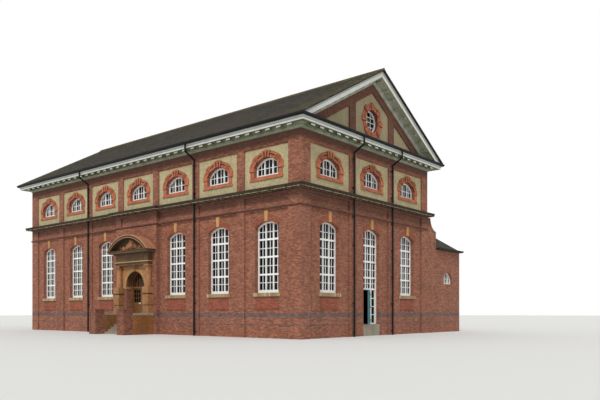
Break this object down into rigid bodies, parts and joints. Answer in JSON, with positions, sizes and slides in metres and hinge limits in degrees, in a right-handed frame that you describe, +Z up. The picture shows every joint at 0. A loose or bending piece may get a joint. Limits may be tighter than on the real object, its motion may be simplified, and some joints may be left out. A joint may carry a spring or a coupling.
{
  "type": "brick engine house",
  "caption": "Red-brick engine hall with tall arched windows, pedimented gables, slate roof, arched entrance porch and low rear range",
  "frame": {"origin": "middle of the hall floor's underside, at the lowest ground", "axes": "+X along the entrance front towards the gable with the small door, -Y out of the entrance, +Z up"},
  "size_m": [36.08, 25.44, 19.2087],
  "materials": {
    "brick": "red brick in lime mortar",
    "concrete": "plain floor, ground bearing",
    "stone": "dressed buff sandstone, weathered",
    "terracotta": "moulded terracotta, matt",
    "rubbed_brick": "orange rubbed brick, fine joints",
    "render": "cream pebbledash render",
    "painted_timber": "white oil paint",
    "slate": "Welsh slate, weathered",
    "ridge": "grey ridge tiles with moss",
    "black_iron": "black paint",
    "window_glass": "plain sheet glass",
    "teal_paint": "teal gloss paint",
    "brown_timber": "brown stained boards",
    "steel": "butt hinges"
  },
  "bodies": {
    "house": {"ground_floors": "concrete", "front_wall_lower": "brick", "entrance_wall_sides": "brick", "entrance_wall_head": "brick", "rear_wall_lower": "brick", "east_wall_sides": "brick", "east_wall_head": "brick", "doorway_thresholds": "stone", "west_wall_lower": "brick", "front_wall_upper": "brick", "rear_wall_upper": "brick", "gable_walls_upper": "brick", "pediment_walls": "brick", "lower_string_course": "stone", "side_string_cornices": "stone", "gable_string_cornices": "stone", "entrance_string_cornice": "stone", "side_eaves_cornices": "painted_timber", "gable_eaves_cornices": "painted_timber", "front_raking_cornices": "painted_timber", "rear_raking_cornices": "painted_timber", "front_roof_slope": "slate", "rear_roof_slope": "slate", "ridge_tiles": "ridge", "side_gutters": "black_iron", "gable_gutters": "black_iron", "downpipes": "black_iron", "lower_window_frames": "painted_timber", "upper_window_frames": "painted_timber", "lower_window_glass": "window_glass", "upper_window_glass": "window_glass", "window_surrounds": "rubbed_brick", "render_panels": "render", "window_sills": "stone", "window_aprons": "rubbed_brick", "window_heads": "rubbed_brick", "window_keystones": "stone", "gable_door_frame": "painted_timber", "entrance_screen": "brown_timber", "door_hinges": "steel", "porch_columns": "terracotta", "porch_arch": "terracotta", "porch_entablature": "terracotta", "porch_pediment": "terracotta", "porch_landing": "stone", "entrance_steps": "stone", "stair_walls": "brick", "landing_boards": "brown_timber", "range_rear_wall": "brick", "range_end_walls": "brick", "range_inner_wall": "brick", "range_roof": "slate", "rear_buttresses": "brick"},
    "gable_door_leaf": {"gable_door": "teal_paint"},
    "entrance_door_leaf": {"entrance_door": "brown_timber"},
    "entrance_door_right_leaf": {"entrance_door_right": "brown_timber"}
  },
  "joints": [
    {"name": "gable_door_hinge", "type": "hinge", "parent": "house", "child": "gable_door_leaf", "pos_m": [16.607, 0.28583, 2.08], "axis": [0, 0, 1], "range_deg": [-27, 63]},
    {"name": "entrance_door_hinge", "type": "hinge", "parent": "house", "child": "entrance_door_leaf", "pos_m": [-1.0875, -7.708, 2.64], "axis": [0, 0, 1], "range_deg": [0, 90]},
    {"name": "entrance_door_right_hinge", "type": "hinge", "parent": "house", "child": "entrance_door_right_leaf", "pos_m": [1.0875, -7.708, 2.64], "axis": [0, 0, 1], "range_deg": [-90, 0]}
  ]
}
